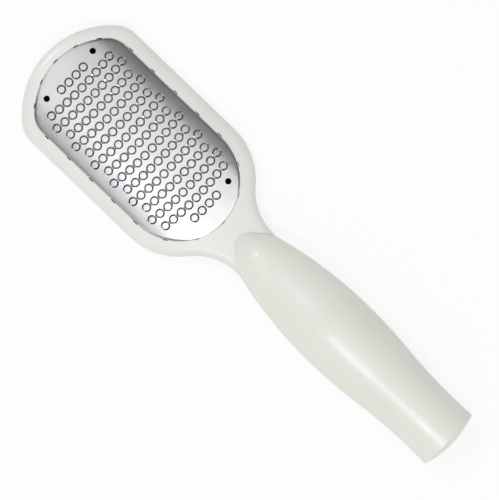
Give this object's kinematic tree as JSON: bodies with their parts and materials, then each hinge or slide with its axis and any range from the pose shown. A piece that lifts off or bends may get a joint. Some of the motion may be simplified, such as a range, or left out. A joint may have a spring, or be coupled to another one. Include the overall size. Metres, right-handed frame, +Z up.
{
  "type": "foot file",
  "caption": "White moulded foot file: a formed steel rasp plate with rows of ring cutters, clinched into an open head frame on a neck, with a swelling two-shell grip.",
  "frame": {"origin": "under the middle of the overall box, on the surface that the back of the head and the belly of the grip rest on", "axes": "+X from the tip of the head to the end of the grip, +Y across the head, +Z up on the side of the rasp plate"},
  "size_m": [0.24, 0.0644, 0.0249],
  "materials": {
    "frame_plastic": "white moulded ABS, satin gloss",
    "grip_plastic": "white moulded ABS, satin gloss",
    "rasp_steel": "bright rolled stainless sheet"
  },
  "bodies": {
    "root": {"head_frame": "frame_plastic", "rasp_plate": "rasp_steel", "grip_front": "grip_plastic", "grip_back": "grip_plastic"}
  },
  "joints": []
}
